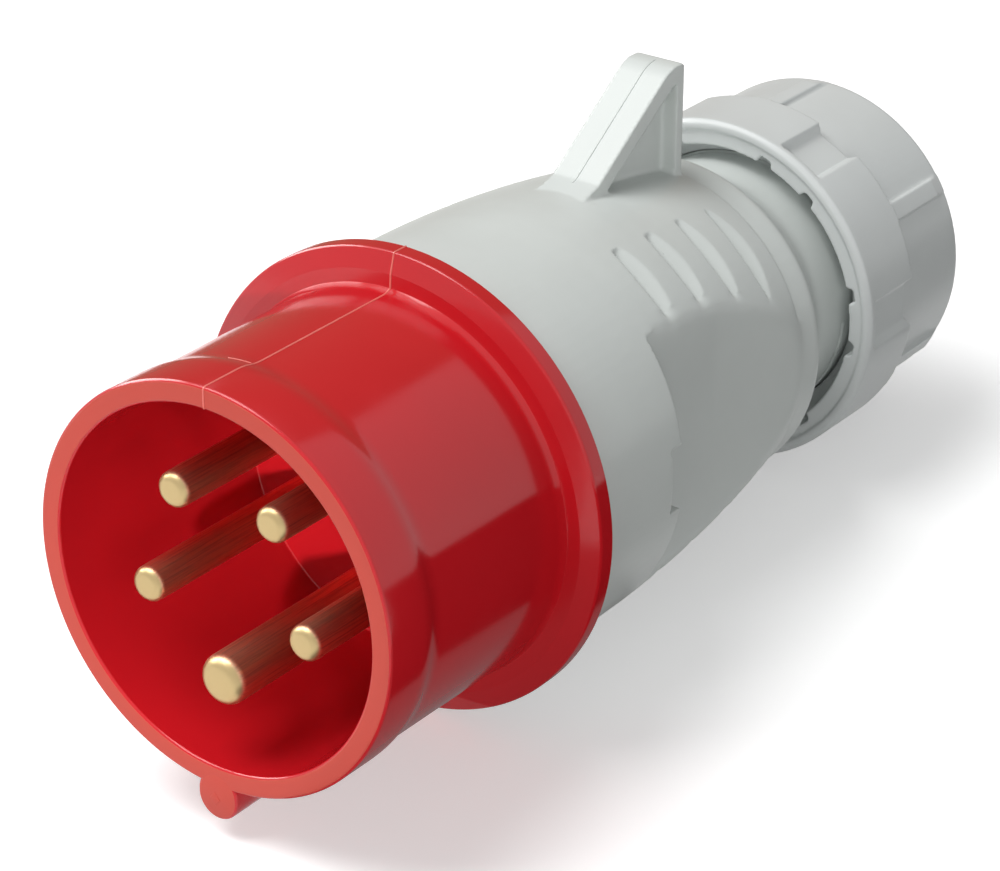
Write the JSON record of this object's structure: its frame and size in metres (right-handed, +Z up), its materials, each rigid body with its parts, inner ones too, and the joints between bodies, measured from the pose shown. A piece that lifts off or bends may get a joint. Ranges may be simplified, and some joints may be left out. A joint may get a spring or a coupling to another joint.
{
  "type": "industrial pin and sleeve plug",
  "caption": "Industrial pin and sleeve plug: red sleeve with brass contacts, grey ribbed handle with a lid hook, and a lugged screw cable gland.",
  "frame": {"origin": "centre of the sleeve's front rim", "axes": "+Y along the plug's axis from the sleeve's mouth to the cable entry, +Z up through the hook, +X to the right as seen from the front"},
  "size_m": [0.0664, 0.1464, 0.0752],
  "materials": {
    "red_plastic": "semi-gloss moulded red",
    "grey_plastic": "satin moulded light grey",
    "nut_plastic": "satin moulded light grey",
    "dark_plastic": "moulded dark grey",
    "brass": "bright turned",
    "plated_steel": "zinc plated",
    "black_rubber": "matte"
  },
  "bodies": {
    "plug": {"front_shell": "red_plastic", "pin_l1": "brass", "pin_l2": "brass", "pin_l3": "brass", "pin_neutral": "brass", "pin_earth": "brass", "terminal_screws": "plated_steel", "contact_retainer": "dark_plastic", "retainer_screws": "plated_steel", "body_gasket": "black_rubber", "housing": "grey_plastic", "housing_screws": "plated_steel", "cable_seal": "black_rubber", "clamp_collet": "dark_plastic"},
    "slip_ring": {"pressure_ring": "dark_plastic"},
    "nut": {"gland_nut": "nut_plastic"}
  },
  "joints": [
    {"name": "gland_travel", "type": "slide", "parent": "plug", "child": "slip_ring", "axis": [0, 1, 0], "range_m": [-0.0075, 0.0075]},
    {"name": "gland_turn", "type": "hinge", "parent": "slip_ring", "child": "nut", "pos_m": [0, 0.13, 0], "axis": [0, 1, 0], "range_deg": [-900, 900]}
  ],
  "couplings": [
    {"joint": "gland_travel", "follows": "gland_turn", "m_per_rad": 0.00047746}
  ]
}
